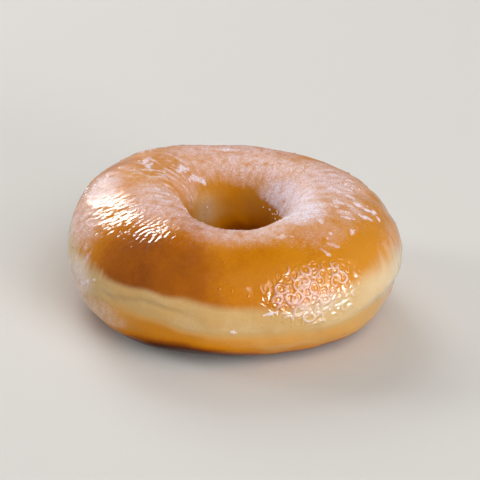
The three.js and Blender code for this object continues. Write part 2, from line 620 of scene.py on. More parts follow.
@dataclass(frozen=True)
class Drying:
    """Where the glaze dried to a white frost, and where it stayed clear. Some of its white is painted sheen
    and painted glints.
    """

    # By angle: the turn where the frost ends in the hole, and over how many degrees it fades
    reach: tuple[tuple[float, float, float], ...] = (
        (0, 146, 3),
        (20, 147, 3),
        (38, 144, 3),
        (58, 141, 4),
        (80, 138, 11),
        (97, 136, 14),
        (120, 134, 13),
        (140, 140, 9),
        (160, 146, 7),
        (200, 145, 6),
        (300, 150, 6),
    )
    # An even veil of frost; some patches are painted sheen
    haze: tuple[Patch, ...] = (
        # Frost, whitened further as painted sheen where the slopes right of the hole face the back lamp
        Patch(325, 108, 40, 38, 1.0),
        Patch(355, 132, 60, 54, 1.05),
        Patch(34, 136, 50, 46, 0.98),
        # Painted sheen: a small whiter patch at the back of the crown
        Patch(98, 79, 16, 12, 0.72),
        # Painted sheen on the left side
        Patch(197, 34, 25, 27, 0.6),
        Patch(317, 74, 38, 38, 0.29),
        Patch(60, 106, 38, 36, 0.64),
        Patch(20, 92, 64, 60, 0.64),
        Patch(95, 80, 80, 56, 0.52),
        Patch(84, 104, 66, 44, 0.58),
        Patch(118, 102, 46, 42, 0.46),
        Patch(158, 122, 40, 44, 0.37),
        Patch(150, 90, 60, 62, 0.22),
        Patch(184, 54, 28, 30, 0.62),
        Patch(208, 100, 56, 60, 0.54),
        Patch(272, 112, 100, 58, 0.54),
        Patch(345, 80, 52, 50, 0.31),
        # Painted sheen low on the left: a peach veil over the crust
        Patch(221, -14, 20, 20, 0.42),
        Patch(210, 2, 16, 26, 0.52),
        # Painted sheen among the blisters at the front right
        Patch(301, 14, 20, 20, 0.34),
        Patch(344, 36, 24, 20, 0.2),
    )
    wall: Patch = Patch(135, 150, 28, 34, 0.25)  # a breath of frost on the wall of the hole
    # Frost that blotches and runs break up
    patchy: tuple[Patch, ...] = (
        Patch(150, 92, 56, 50, 0.66),
        Patch(200, 108, 44, 30, 0.9),
        Patch(345, 78, 40, 30, 0.6),
        Patch(206, 22, 20, 26, 0.55),
        Patch(120, 45, 50, 35, 0.6),
    )
    # Beads of dried sugar; on the right wall of the hole their white also paints the glints of the glaze's
    # beads
    beaded: tuple[Patch, ...] = (
        # Painted glints: white beads on the right wall of the hole
        Patch(38, 150, 24, 9, 4.5),
        Patch(128, 143, 30, 12, 0.5),
        Patch(174, 44, 18, 18, 1.8),
    )
    # Glaze that stayed glossy on the crown and in the hole
    wet: tuple[Patch, ...] = (
        Patch(216, 48, 38, 38, 1.5),
        Patch(230, 68, 24, 24, 0.75),
        Patch(345, 62, 36, 34, 0.6),
        Patch(28, 150, 40, 22, 0.35),
    )
    blotches: Ripples = Ripples(41, 3.0, 9.0, 1.5)
    clouds: Ripples = Ripples(42, 1.6, 4.5)
    runs: Ripples = Ripples(43, 1.6, 5.0, 3.2, 0.15)
    # Thick runs that dried white
    streaks: tuple[Streak, ...] = (
        Streak((27, 82), (17, 66), 1.1),
        Streak((6, 93), (354, 72), 1.2),
        Streak((350, 70), (345, 50), 1.5, 1.2),
        Streak((340, 64), (341, 54), 0.9),
        Streak((333, 73), (335, 64), 0.8),
        Streak((348, 86), (340, 82), 1.3, 0.9),
        Streak((6, 78), (3, 74), 0.9),
        Streak((326, 86), (320, 80), 1.1, 0.8),
        Streak((318, 66), (314, 63), 0.5),
        Streak((328, 58), (325, 56), 0.5, 0.8),
        Streak((312, 59), (316, 52), 0.4, 0.6),
        Streak((308, 56), (310, 49), 0.5, 0.6),
        Streak((292, 84), (300, 77), 0.9, 0.7),
        Streak((148, 72), (160, 84), 1.4),
        Streak((135, 104), (150, 106), 1.5),
        Streak((128, 122), (146, 118), 1.5),
        Streak((176, 92), (170, 104), 1.1, 0.8),
        Streak((160, 119), (155, 138), 0.8, 0.8),
        Streak((180, 117), (192, 122), 0.6, 0.8),
        Streak((196, 118), (212, 119), 0.6, 0.7),
        # Painted glints: three small white marks on the band, where the glaze catches the light
        Streak((212, -1), (221, 11), 0.5),
        Streak((281, 8), (286, 11), 0.4, 0.9),
        Streak((270, -7), (272, -8), 0.5, 0.9),
    )
    haze_mean: float = 0.97  # how full the haze is, and how much clouds and blotches change that
    haze_clouds: float = 0.11
    haze_blotches: float = 0.09
    haze_most: float = 1.1
    patch_blotches: float = 0.7  # how much the blotches, the runs and the clouds break the patches up
    patch_runs: float = 0.6
    patch_clouds: float = 0.35
    patch_edge: tuple[float, float] = (-0.5, 1.3)
    streak_frost: float = 0.85
    reach_wander: float = 1.5  # degrees that the frost's end in the hole wanders
    glossy_from: tuple[float, float] = (-26, -8)  # turns over which the outer side turns glossy
    glossy_to: tuple[float, float] = (44, 68)  # and matt again on the crown
    glossy_around: Swing = Swing(1.0, ((168, 34, -0.55),))

    def frost(self, places: Places) -> np.ndarray:
        """How frosted each place is.

        Args:
            places: where it is wanted.

        Returns:
            The frost, from 0 for clear glaze to 1 for white.
        """
        clouds = self.clouds.heights(places)
        blotches = self.blotches.heights(places)
        runs = self.runs.heights(places)
        fullness = self.haze_mean + self.haze_clouds * clouds + self.haze_blotches * blotches
        even = highest(self.haze, places) * np.clip(fullness, 0, self.haze_most)
        mixed = self.patch_blotches * blotches + self.patch_runs * runs + self.patch_clouds * clouds
        broken = highest(self.patchy, places) * smooth(mixed, *self.patch_edge)
        drawn = self.streak_frost * np.max([s.share(places, clouds) for s in self.streaks], axis=0)
        angles, ends, fades = np.array(self.reach).T
        end = np.interp(places.around % 360, angles, ends, period=360)
        fade = np.interp(places.around % 360, angles, fades, period=360)
        reached = 1 - smooth(places.turn - end + self.reach_wander * clouds, -fade, fade)
        frost = np.maximum.reduce([even, broken, drawn]) * reached
        return np.clip(np.maximum(frost, self.wall.share(places)), 0, 1)

    def gloss(self, places: Places) -> np.ndarray:
        """How glossy the glaze dried.

        Args:
            places: where it is wanted.

        Returns:
            The gloss, from 0 for matt to 1 for wet-looking.
        """
        turn = turned_by(places.turn, 90) + 90
        outside = smooth(turn, *self.glossy_from) * (1 - smooth(turn, *self.glossy_to))
        outside = outside * self.glossy_around.at(places.around)
        return np.clip(np.maximum(outside, highest(self.wet, places)), 0, 1)


@dataclass(frozen=True)
class Crease:
    """The fold in the pale band at the left of the front: a fine valley under a rounded lip."""

    corners: tuple[tuple[float, float], ...] = ((222, 6), (229, 2), (239, 9), (246, 8.5), (252, 7), (258, 5))
    depth: float = 0.5
    half_width: float = 1.5
    fade: float = 6.0  # degrees over which each end dies away
    lip_height: float = 0.35  # as a share of the valley's depth
    lip_rise: float = 1.7  # how far over the valley the lip runs, and how wide it is, in its half widths
    lip_half_width: float = 1.8

    def heights(self, places: Places) -> np.ndarray:
        """The fold's relief.

        Args:
            places: where it is wanted.

        Returns:
            Heights in millimetres, below 0 in the valley and above 0 on the lip over it.
        """
        angles, turns = np.array(self.corners).T
        middle = np.interp(places.around, angles, turns)
        above = (turned_by(places.turn, 0) - middle) * MM_ACROSS
        ends = smooth(places.around, angles[0], angles[0] + self.fade)
        ends = ends * (1 - smooth(places.around, angles[-1] - self.fade, angles[-1]))
        valley = hump(above, self.half_width)
        lip = hump(above - self.lip_rise * self.half_width, self.lip_half_width * self.half_width)
        return self.depth * ends * (self.lip_height * lip - valley)


@dataclass(frozen=True)
class Unevenness:
    """The ring's relief, in millimetres: what the dough has, and what only the glaze adds."""

    lumps: float = 0.09
    edge_lumps: float = 0.10
    peel: float = 0.02
    shoulder_ripples: float = 0.052
    side_ripples: float = 0.035
    fine_ripples: float = 0.017
    frost_grain: float = 0.018
    frost_thickness: float = 0.05
    deepest: float = -0.15  # no hollow of the glaze goes deeper
    least_knobbly: float = 0.35  # how knobbly the dough is away from its right side
    foot: tuple[float, float] = (0.5, 4)  # heights over which the relief sets in above the flat foot
    rim_edge: tuple[float, float] = (0.3, 0.9)  # shares of the highest rim between which a rim turns white: partly dried frost, partly a painted glint
    slow: Ripples = Ripples(21, 9, 22)
    knobbly: Ripples = Ripples(22, 4.5, 9)
    fine_peel: Ripples = Ripples(31, 2.4, 6)
    runs: Ripples = Ripples(32, 1.1, 2.8, 1.7, -0.03)
    fine_runs: Ripples = Ripples(35, 0.45, 1.0, 1.6, -0.03)
    side_runs: Ripples = Ripples(33, 1.5, 4.0, 3.0)
    grain: Ripples = Ripples(34, 1.0, 2.0)
    crease: Crease = Crease()
    shoulder: Patch = Patch(213, 58, 56, 50)
    right_side: Patch = Patch(352, 58, 42, 44)
    left_side: Patch = Patch(205, 16, 22, 34)
    burst: Blisters = Blisters(51, 2.3, 0.9, 2.3, 0.13, True)
    burst_zone: Patch = Patch(300, 23, 26, 40)
    blistered: tuple[tuple[Blisters, Patch], ...] = (
        (Blisters(52, 1.5, 0.4, 0.8), Patch(28, 150, 44, 24)),
        (Blisters(53, 1.8, 0.4, 0.7), Patch(150, 150, 30, 22)),
    )

    def rims(self, places: Places) -> np.ndarray:
        """How much of a burst blister's raised rim each place is, from 0 to 1."""
        height = self.burst.heights(places, self.burst_zone)
        return smooth(height / (self.burst.steepness * self.burst.widest), *self.rim_edge)

    def of_dough(self, places: Places) -> np.ndarray:
        """Heights of the relief that dough and glaze share.

        Args:
            places: where they are wanted.

        Returns:
            One height for each place.
        """
        knobbly = np.maximum(self.right_side.share(places), self.least_knobbly)
        relief = self.lumps * self.slow.heights(places)
        relief += self.edge_lumps * knobbly * self.knobbly.heights(places)
        return relief * smooth(places.points[..., 2], *self.foot) + self.crease.heights(places)

    def of_glaze(self, places: Places, frost: np.ndarray, fine: bool) -> np.ndarray:
        """Heights that only the glaze adds.

        Args:
            places: where they are wanted.
            frost: how frosted each place is.
            fine: whether the places lie close enough for the finest relief.

        Returns:
            One height for each place.
        """
        streaky = np.maximum(self.right_side.share(places), self.left_side.share(places))
        relief = self.peel * self.fine_peel.heights(places)
        relief += self.shoulder_ripples * self.shoulder.share(places) * self.runs.heights(places)
        relief += self.side_ripples * streaky * self.side_runs.heights(places)
        relief += self.frost_grain * frost * self.grain.heights(places)
        relief += self.frost_thickness * frost
        for blisters, zone in self.blistered:
            relief += blisters.heights(places, zone)
        if fine:
            relief += self.fine_ripples * self.shoulder.share(places) * self.fine_runs.heights(places)
            relief += self.burst.heights(places, self.burst_zone)
        return np.maximum(relief, self.deepest)


# Finishes

@dataclass(frozen=True)
class FriedColours:
    """The colours that wheat dough takes on in the fat, from pale to dark brown."""

    stops: tuple[tuple[float, str], ...] = (
        (0.0, "#D9C5A7"),
        (0.12, "#D2B68A"),
        (0.25, "#C69F65"),
        (0.40, "#CF974D"),
        (0.52, "#C98429"),
        (0.60, "#CA800F"),
        (0.68, "#C17404"),
        (0.76, "#A65A02"),
        (0.88, "#823F04"),
        (1.0, "#4C2204"),
    )
    mottle_width: float = 4.5  # mm
    mottle: float = 0.05  # how far it swings the browning
    grain_width: float = 0.8
    grain: float = 0.04

    def add_to(self, tree: bpy.types.NodeTree) -> bpy.types.NodeSocket:
        """Adds the nodes that colour the crust.

        Args:
            tree: the material's node tree.

        Returns:
            The socket that gives the colour.
        """
        places = add_node(tree, "ShaderNodeTexCoord").outputs["Object"]
        swings = []
        for width, share in ((self.mottle_width, self.mottle), (self.grain_width, self.grain)):
            size = {"Scale": 1 / (width * MM), "Detail": 3.0}
            noise = add_node(tree, "ShaderNodeTexNoise", {"Vector": places, **size}).outputs["Fac"]
            ends = {"To Min": -share, "To Max": share}
            swing = add_node(tree, "ShaderNodeMapRange", {"Value": noise, **ends})
            swings.append(swing.outputs["Result"])
        both = dict(enumerate(swings))
        uneven = add_node(tree, "ShaderNodeMath", both, operation="ADD").outputs["Value"]
        over = add_node(tree, "ShaderNodeAttribute", attribute_name="over_edge").outputs["Fac"]
        below, above = (self._add_ramp(tree, fact, uneven) for fact in ("browning_below", "browning"))
        return add_node(tree, "ShaderNodeMix", {0: over, 6: below, 7: above}, data_type="RGBA").outputs[2]

    def _add_ramp(
        self, tree: bpy.types.NodeTree, fact: str, uneven: bpy.types.NodeSocket
    ) -> bpy.types.NodeSocket:
        """Adds the nodes that turn one browning into a colour.

        Args:
            tree: the material's node tree.
            fact: the browning's attribute name.
            uneven: the socket with what is added to it.

        Returns:
            The socket that gives the colour.
        """
        browning = add_node(tree, "ShaderNodeAttribute", attribute_name=fact).outputs["Fac"]
        total = add_node(tree, "ShaderNodeMath", {0: browning, 1: uneven}, operation="ADD")
        ramp = add_node(tree, "ShaderNodeValToRGB", {"Fac": total.outputs["Value"]})
        elements = ramp.color_ramp.elements
        elements[0].position, elements[0].color = self.stops[0][0], linear(self.stops[0][1])
        elements[1].position, elements[1].color = self.stops[-1][0], linear(self.stops[-1][1])
        for position, colour in self.stops[1:-1]:
            elements.new(position).color = linear(colour)
        return ramp.outputs["Color"]


@dataclass(frozen=True)
class FriedDough:
    """Fried wheat dough with only a breath of glaze: a dull, finely wrinkled skin with small open pores."""

    colours: FriedColours = FriedColours()
    roughness: float = 0.5
    ior: float = 1.4
    film: float = 0.05  # how much of a coat the breath of glaze makes
    film_roughness: float = 0.25
    pore_width: float = 0.9  # mm
    pore_depth: float = 0.12

    def build(self) -> bpy.types.Material:
        """Makes the material.

        Returns:
            The material.
        """
        material, shader = start_material("fried_wheat_dough")
        tree = material.node_tree
        places = add_node(tree, "ShaderNodeTexCoord").outputs["Object"]
        size = {"Scale": 1 / (self.pore_width * MM), "Detail": 4.0}
        pores = add_node(tree, "ShaderNodeTexNoise", {"Vector": places, **size}).outputs["Fac"]
        bump = add_node(tree, "ShaderNodeBump", {"Height": pores, "Distance": self.pore_depth * MM})
        finish = {
            "Base Color": self.colours.add_to(tree),
            "Normal": bump.outputs["Normal"],
            "Roughness": self.roughness,
            "IOR": self.ior,
            "Coat Weight": self.film,
            "Coat Roughness": self.film_roughness,
        }
        set_inputs(shader, finish)
        return material


@dataclass(frozen=True)
class SugarGlaze:
    """Poured sugar glaze over browned dough: clear and wet-looking where thick, frosted and crazed where dry.

    The dough's own colour shows through it. Where the sugar has crystallised it scatters white light.
    """

    colours: FriedColours = FriedColours()
    sugar: str = "#F2E6F3"
    clear_roughness: float = 0.34
    dry_roughness: float = 0.45
    gloss_roughness: float = 0.09
    ior: float = 1.4
    gloss_ior: float = 1.48
    dull_level: float = 0.04  # what the body under the gloss mirrors, as the crust under it is dull
    gloss_lost: tuple[float, float] = (0.1, 0.7)  # whiteness between which the gloss dies away
    grain_width: float = 0.45  # mm, of the sugar's grain
    grain_depth: float = 0.2
    grain_swing: float = 1.35  # how far the grain changes the whiteness of thick frost
    least_grainy: float = 0.2  # added to the frost to say how grainy it is
    frost_seen: tuple[float, float] = (0.15, 1.04)  # frost between which it turns from clear to its whitest
    whitest: float = 0.97
    craze_width: float = 1.2  # mm, of a plate between two cracks
    crack_half_width: float = 0.14  # as a share of that
    crack_white: float = 0.62  # how white a crack is, as a share of the plates
    film_width: float = 0.8  # mm, of the finest ripples of the film
    film_stretch: float = 0.4
    film_depth: float = 0.05

    def build(self) -> bpy.types.Material:
        """Makes the material.

        Returns:
            The material.
        """
        material, shader = start_material("poured_sugar_glaze")
        tree = material.node_tree
        places = add_node(tree, "ShaderNodeTexCoord").outputs["Object"]
        frost = add_node(tree, "ShaderNodeAttribute", attribute_name="frost").outputs["Fac"]
        wet = add_node(tree, "ShaderNodeAttribute", attribute_name="gloss").outputs["Fac"]
        size = {"Scale": 1 / (self.grain_width * MM), "Detail": 3.0, "Roughness": 0.7}
        grain = add_node(tree, "ShaderNodeTexNoise", {"Vector": places, **size}).outputs["Fac"]
        white = self._add_white(tree, places, frost, grain)
        layers = {0: white, 6: self.colours.add_to(tree), 7: linear(self.sugar)}
        colour = add_node(tree, "ShaderNodeMix", layers, data_type="RGBA").outputs[2]
        low, high = self.gloss_lost
        ends = {"From Min": low, "From Max": high, "To Min": 1.0, "To Max": 0.0}
        clear = add_node(tree, "ShaderNodeMapRange", {"Value": white, **ends}).outputs["Result"]
        gloss = add_node(tree, "ShaderNodeMath", {0: clear, 1: wet}, operation="MULTIPLY").outputs["Value"]
        ends = {"To Min": self.dry_roughness, "To Max": self.clear_roughness}
        roughness = add_node(tree, "ShaderNodeMapRange", {"Value": gloss, **ends}).outputs["Result"]
        normal = self._add_relief(tree, frost, grain)
        finish = {
            "Base Color": colour,
            "Roughness": roughness,
            "Normal": normal,
            "IOR": self.ior,
            "Specular IOR Level": self.dull_level,
            "Coat Weight": gloss,
            "Coat Normal": normal,
            "Coat Roughness": self.gloss_roughness,
            "Coat IOR": self.gloss_ior,
        }
        set_inputs(shader, finish)
        return material

    def _add_white(
        self,
        tree: bpy.types.NodeTree,
        places: bpy.types.NodeSocket,
        frost: bpy.types.NodeSocket,
        grain: bpy.types.NodeSocket,
    ) -> bpy.types.NodeSocket:
        """Adds the nodes that say how white the sugar is at each place: grainy, with darker cracks.

        Args:
            tree: the material's node tree.
            places: the socket with the places.
            frost: the socket with the frost.
            grain: the socket with the sugar's grain.

        Returns:
            The socket that gives the whiteness.
        """
        # The grain swings evenly to both sides. A thin frost is a smooth veil, and a thick one is grainy
        swing = {0: grain, 1: self.grain_swing, 2: -self.grain_swing / 2}
        grainy = add_node(tree, "ShaderNodeMath", swing, operation="MULTIPLY_ADD").outputs["Value"]
        share = add_node(tree, "ShaderNodeMath", {0: frost, 1: self.least_grainy}, operation="ADD")
        parts = {0: grainy, 1: share.outputs["Value"], 2: frost}
        raised = add_node(tree, "ShaderNodeMath", parts, operation="MULTIPLY_ADD").outputs["Value"]
        clear, full = self.frost_seen
        ends = {"From Min": clear, "From Max": full, "To Max": self.whitest}
        level = add_node(tree, "ShaderNodeMapRange", {"Value": raised, **ends}).outputs["Result"]
        size = {"Scale": 1 / (self.craze_width * MM)}
        cracks = add_node(
            tree, "ShaderNodeTexVoronoi", {"Vector": places, **size}, feature="DISTANCE_TO_EDGE"
        ).outputs["Distance"]
        ends = {"From Max": self.crack_half_width, "To Min": self.crack_white}
        plates = add_node(tree, "ShaderNodeMapRange", {"Value": cracks, **ends}).outputs["Result"]
        return add_node(tree, "ShaderNodeMath", {0: level, 1: plates}, operation="MULTIPLY").outputs["Value"]

    def _add_relief(
        self, tree: bpy.types.NodeTree, frost: bpy.types.NodeSocket, grain: bpy.types.NodeSocket
    ) -> bpy.types.NodeSocket:
        """Adds the finest ripples of the film and the grain of the dry sugar.

        Args:
            tree: the material's node tree.
            frost: the socket with the frost.
            grain: the socket with the sugar's grain.

        Returns:
            The socket that gives the normal.
        """
        flow = add_node(tree, "ShaderNodeAttribute", attribute_name="flow").outputs["Vector"]
        ripple = add_node(tree, "ShaderNodeAttribute", attribute_name="ripple").outputs["Fac"]
        drawn = {"Vector": flow, "Scale": (1.0, 1.0, self.film_stretch)}
        stretched = add_node(tree, "ShaderNodeMapping", drawn).outputs["Vector"]
        size = {"Scale": 1 / (self.film_width * MM), "Detail": 2.0}
        film = add_node(tree, "ShaderNodeTexNoise", {"Vector": stretched, **size}).outputs["Fac"]
        normal = {}
        for height, share, depth in ((film, ripple, self.film_depth), (grain, frost, self.grain_depth)):
            raised = add_node(tree, "ShaderNodeMath", {0: height, 1: share}, operation="MULTIPLY")
            relief = {"Height": raised.outputs["Value"], "Distance": depth * MM, **normal}
            normal = {"Normal": add_node(tree, "ShaderNodeBump", relief).outputs["Normal"]}
        return normal["Normal"]


@dataclass(frozen=True)
class DriedSugar:
    """Icing sugar that has crystallised out of the glaze: small white grains, slightly glassy."""

    colour: str = "#F6EEF0"
    roughness: float = 0.2
    ior: float = 1.54

    def build(self) -> bpy.types.Material:
        """Makes the material.

        Returns:
            The material.
        """
        material, shader = start_material("crystallised_icing_sugar")
        finish = {"Base Color": linear(self.colour), "Roughness": self.roughness, "IOR": self.ior}
        set_inputs(shader, finish)
        return material


# Pieces

@dataclass
class DoughRing:
    """The fried dough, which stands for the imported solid. It lies a little lower where glaze covers it."""

    form: RingForm
    unevenness: Unevenness
    frying: Frying
    glaze: "GlazeCoat"
    columns: int = 432
    rows: int = 216
    sunk: float = 0.32  # mm

    def build(self) -> bpy.types.Object:
        """Makes the ring and dresses it.

        Returns:
            The new object, at the origin.
        """
        around = np.arange(self.columns) * 360 / self.columns
        turn = np.tile(np.arange(self.rows) * 360 / self.rows, (self.columns, 1))
        places = self.form.places(around, turn)
        height = self.unevenness.of_dough(places) - self.sunk * self.glaze.cover(places)
        points = places.points + outward(places.points) * height[..., None]
        points[..., 2] = np.maximum(points[..., 2], 0)
        piece = make_ring("fried_dough", points, self.frying.facts(places))
        piece.data.materials.append(FriedDough().build())
        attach(piece, BODY)
        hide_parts(NODE)
        return piece


@dataclass
class GlazeCoat:
    """The coat of sugar glaze: a closed shell from the lower crust over the crown and down into the hole."""

    form: RingForm
    unevenness: Unevenness
    frying: Frying
    drying: Drying
    columns: int = 600
    rows: int = 144
    rows_under: int = 18
    crowding: float = 0.34  # how much closer the columns stand at the front than at the back
    row_crowding: float = 0.35  # how much closer the rows stand on the outer side than in the hole
    crowded_row: float = 0.345  # share of the rows below the middle of that side
    lower_edge: float = -37.0  # turn where the coat ends on the lower crust
    hole_edge: float = 204.0  # and in the hole
    wander: float = 3.5  # degrees that both edges wander
    edge: float = 7.0  # degrees over which the coat thins to its edge
    edge_drop: float = 0.42  # mm that its edge goes into the dough
    underside: float = 0.62  # mm that the hidden underside lies below the form
    # The waves in which both edges wander: how often each runs round, its phase in radians and its share
    edge_waves: tuple[tuple[int, float, float], ...] = ((5, 1.0, 1.0), (11, 2.0, 0.6), (23, 0.0, 0.4))
    densest: float = 262.0  # angle where the columns stand closest
    full_from: tuple[float, float] = (5.0, 11.0)  # degrees inside its edge over which the dough sinks
    least_ripple: float = 0.08  # share of the film's finest ripples that is everywhere
    right_ripple: float = 0.6  # and at the right side
    grain_gain: float = 1.6  # how fast the grains thicken with the frost
    grain_loss: float = 0.7  # what is taken off that, so that thin frost has none
    grains_above: float = 30.0  # turn above which grains lie
    bubbles_within: tuple[float, float] = (-10.0, 120.0)  # and between which bubbles do
    insets: tuple["Inset", ...] = ()

    def edges(self, around: np.ndarray) -> tuple[np.ndarray, np.ndarray]:
        """Finds where the coat ends.

        Args:
            around: angles round the ring.

        Returns:
            The turns at which it ends at each angle, on the lower crust and in the hole.
        """
        a = np.radians(around)
        waves = sum(share * np.sin(count * a + phase) for count, phase, share in self.edge_waves)
        return self.lower_edge + self.wander * waves, self.hole_edge - self.wander * waves

    def cover(self, places: Places) -> np.ndarray:
        """How fully the coat covers each place.

        Args:
            places: where it is wanted.

        Returns:
            The cover, from 0 outside the coat's edges to 1 inside.
        """
        low, high = self.edges(places.around)
        turn = turned_by(places.turn, 90) + 90
        return smooth(np.minimum(turn - low, high - turn), *self.full_from)

    def build(self) -> bpy.types.Object:
        """Makes the coat and dresses it.

        Returns:
            The new object, at the origin.
        """
        step = np.arange(self.columns) / self.columns
        crowded = self.crowding * 180 / math.pi * np.sin(2 * math.pi * step)
        around = (360 * step - crowded + self.densest) % 360
        low, high = self.edges(around)
        row = np.arange(self.rows) / (self.rows - 1)
        swing = np.sin(2 * math.pi * (row - self.crowded_row)) + math.sin(2 * math.pi * self.crowded_row)
        share = row - self.row_crowding / (2 * math.pi) * swing
        turn = low[:, None] + (high - low)[:, None] * share
        places = self.form.places(around, turn)
        frost = self.drying.frost(places)
        full = smooth(np.minimum(turn - low[:, None], high[:, None] - turn), 0, self.edge)
        height = self.unevenness.of_dough(places) + self.unevenness.of_glaze(places, frost, False) * full
        height -= self.edge_drop * (1 - full)
        for inset in self.insets:
            height -= inset.hollow(places)
        rows_back = np.linspace(self.rows - 1, 0, self.rows_under + 2).round().astype(int)[1:-1]
        facts = self.facts(places, frost, full)
        piece = make_shell("glaze_coat", places, height, self.underside, rows_back, facts)
        piece.data.materials.append(SugarGlaze().build())
        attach(piece, BODY)
        return piece

    def facts(self, places: Places, frost: np.ndarray, full: np.ndarray) -> dict[str, np.ndarray]:
        """What the glaze's material and the strewn things need to know about each place.

        Args:
            places: where it is wanted.
            frost: how frosted each place is.
            full: how thick the coat is there, from 0 at its edge to 1.

        Returns:
            The facts by attribute name.
        """
        shoulder = self.unevenness.shoulder.share(places)
        right = self.unevenness.right_side.share(places)
        ripple = self.least_ripple + np.maximum(shoulder, self.right_ripple * right)
        grains = np.clip(frost * self.grain_gain - self.grain_loss, 0, 1) * (places.turn > self.grains_above)
        low, high = self.bubbles_within
        return {
            **self.frying.facts(places),
            "frost": frost,
            "flow": places.flow() * MM,
            "ripple": np.clip(ripple, 0, 1),
            "gloss": self.drying.gloss(places),
            "grains": grains * full,
            "bubbles": full * (places.turn > low) * (places.turn < high),
            "beads": full * highest(self.drying.beaded, places),
        }


@dataclass(frozen=True)
class Inset:
    """A stretch where the glaze ran thick, with ripples and blisters too fine for the coat's own grid."""

    name: str
    around: tuple[float, float]  # degrees, from and to
    turn: tuple[float, float]
    columns: int
    rows: int
    rows_under: int = 6
    bed: float = 0.10  # mm that the coat lies lower under it
    edge_drop: float = 0.14  # mm that its edge goes into the coat
    edge: float = 3.0  # mm over which it comes up out of the coat
    underside: float = 0.5  # mm that the hidden underside lies below the form
    bed_slope: tuple[float, float] = (0.5, 1.6)  # shares of the edge's width over which the coat sinks
    rim_frost_and_glint: float = 0.48  # how white the rims of burst blisters are: partly dried frost, partly painted glints

    def inside(self, places: Places) -> np.ndarray:
        """How far inside the inset each place is.

        Args:
            places: where it is wanted.

        Returns:
            The distance in millimetres from its border, 0 outside it.
        """
        middle = (self.around[0] + self.around[1]) / 2
        reach = (self.around[1] - self.around[0]) / 2
        along = (reach - np.abs(turned_by(places.around, middle))) * MM_AROUND
        across = np.minimum(places.turn - self.turn[0], self.turn[1] - places.turn) * MM_ACROSS
        return np.maximum(np.minimum(along, across), 0)

    def hollow(self, places: Places) -> np.ndarray:
        """How many millimetres lower the coat lies at each place."""
        low, high = self.bed_slope
        return self.bed * smooth(self.inside(places), low * self.edge, high * self.edge)

    def build(self, coat: GlazeCoat, material: bpy.types.Material) -> bpy.types.Object:
        """Makes the inset, flush with the coat.

        Args:
            coat: the coat that it lies in.
            material: the coat's material.

        Returns:
            The new object, at the origin.
        """
        around = np.linspace(*self.around, self.columns)
        turn = np.tile(np.linspace(*self.turn, self.rows), (self.columns, 1))
        places = coat.form.places(around, turn)
        # The rims' white is partly frost and partly painted glint
        frost = np.maximum(coat.drying.frost(places), self.rim_frost_and_glint * coat.unevenness.rims(places))
        height = coat.unevenness.of_dough(places) + coat.unevenness.of_glaze(places, frost, True)
        height -= self.edge_drop * (1 - smooth(self.inside(places), 0, self.edge))
        rows_back = np.linspace(self.rows - 1, 0, self.rows_under).round().astype(int)
        facts = coat.facts(places, frost, np.ones(frost.shape))
        piece = make_shell(self.name, places, height, self.underside, rows_back, facts, closed_around=False)
        piece.data.materials.append(material)
        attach(piece, BODY)
        return piece


class Grain(Enum):
    """The shapes of what is strewn over the glaze, by how often a ball's faces are divided."""

    CRYSTAL = 1
    BUBBLE = 3


